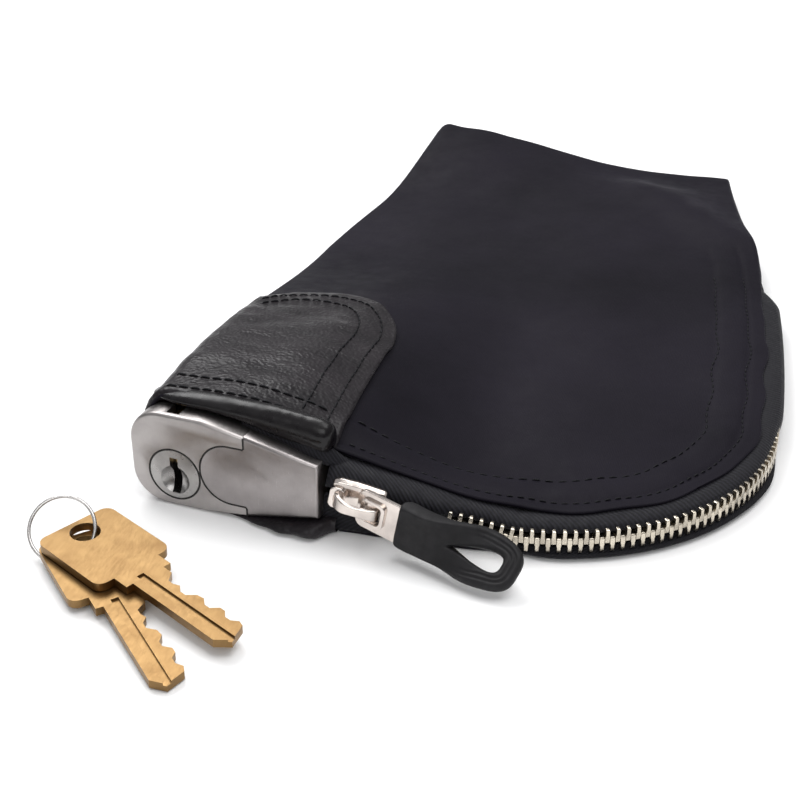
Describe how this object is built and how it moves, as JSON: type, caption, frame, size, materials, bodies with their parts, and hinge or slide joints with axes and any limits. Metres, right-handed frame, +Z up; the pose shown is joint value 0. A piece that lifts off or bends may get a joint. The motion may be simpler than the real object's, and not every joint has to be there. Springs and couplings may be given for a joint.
{
  "type": "cash deposit bag",
  "caption": "Flat black fabric deposit bag with a metal zipper on two sides, a pin tumbler lock that captures the slider, a leather corner patch, and keys on a wire ring.",
  "frame": {"origin": "on the resting surface, under the middle of the bag", "axes": "+X along the front edge away from the lock, +Y from the zippered front edge to the far edge, +Z up"},
  "size_m": [0.1682, 0.319, 0.0301],
  "materials": {
    "nylon": "matte woven",
    "tape": "ribbed tape",
    "patch_leather": "grained, semi-gloss",
    "teeth_metal": "polished nickel tone",
    "slider_metal": "polished",
    "lock_steel": "fine brushed",
    "plug_steel": "turned",
    "inner_steel": "plain",
    "spring_steel": "plain",
    "brass": "satin",
    "key_brass": "satin, worn",
    "ring_steel": "bright wire",
    "felt": "felt",
    "sleeve_rubber": "matte ribbed"
  },
  "bodies": {
    "bag": {"upper_panel": "nylon", "lower_panel": "nylon", "zipper_end_tab": "nylon", "zipper_tape_upper": "tape", "zipper_tape_lower": "tape", "upper_corner_patch": "patch_leather", "lower_corner_patch": "patch_leather", "zipper_mouth_teeth_upper": "teeth_metal", "zipper_mouth_teeth_lower": "teeth_metal", "zipper_teeth_upper": "teeth_metal", "zipper_teeth_lower": "teeth_metal", "zipper_top_stops": "teeth_metal", "zipper_bottom_stop": "teeth_metal", "lock_housing": "lock_steel", "lock_back_plate": "inner_steel", "lock_rivets": "inner_steel", "bolt_spring": "spring_steel", "pin_springs": "spring_steel", "bolt_pad": "felt", "driver_pins": "brass", "pin_chamber_cover": "brass"},
    "lock_bolt": {"lock_bolt": "lock_steel"},
    "lock_plug": {"lock_plug": "plug_steel", "key_pins": "brass", "lock_cam": "inner_steel", "plug_clip": "spring_steel"},
    "zipper_slider": {"slider_body": "slider_metal", "slider_bridge": "slider_metal"},
    "zipper_pull": {"pull_tab": "slider_metal", "pull_sleeve": "sleeve_rubber"},
    "key_ring": {"key_ring": "ring_steel"},
    "key_front": {"key_front": "key_brass"},
    "key_rear": {"key_rear": "key_brass"}
  },
  "joints": [
    {"name": "bolt_slide", "type": "slide", "parent": "bag", "child": "lock_bolt", "axis": [-0.0872, -0.9962, 0], "range_m": [0, 0.006], "deforming": ["bolt_spring"]},
    {"name": "plug_turn", "type": "hinge", "parent": "bag", "child": "lock_plug", "pos_m": [-0.065, -0.127, 0.0091], "axis": [0.0872, 0.9962, 0], "range_deg": [0, 90]},
    {"name": "zipper_slide", "type": "slide", "parent": "bag", "child": "zipper_slider", "axis": [0.9811, 0.0703, -0.1805], "range_m": [0, 0.024], "deforming": ["zipper_mouth_teeth_upper", "zipper_mouth_teeth_lower"]},
    {"name": "pull_swing", "type": "hinge", "parent": "zipper_slider", "child": "zipper_pull", "pos_m": [-0.01527, -0.13061, 0.01087], "axis": [-0.1801, -0.0129, -0.9836], "range_deg": [0, 115]},
    {"name": "key_lift", "type": "slide", "parent": "bag", "child": "key_ring", "axis": [0, 0, 1], "range_m": [0, 0.12]},
    {"name": "key_front_swing", "type": "hinge", "parent": "key_ring", "child": "key_front", "pos_m": [-0.07679, -0.15209, 0.0053], "axis": [0.0295, -0.0151, 0.9995], "range_deg": [-20, 20]},
    {"name": "key_rear_swing", "type": "hinge", "parent": "key_ring", "child": "key_rear", "pos_m": [-0.07599, -0.15377, 0.00295], "axis": [0.0239, -0.023, 0.9995], "range_deg": [-10, 15]}
  ]
}
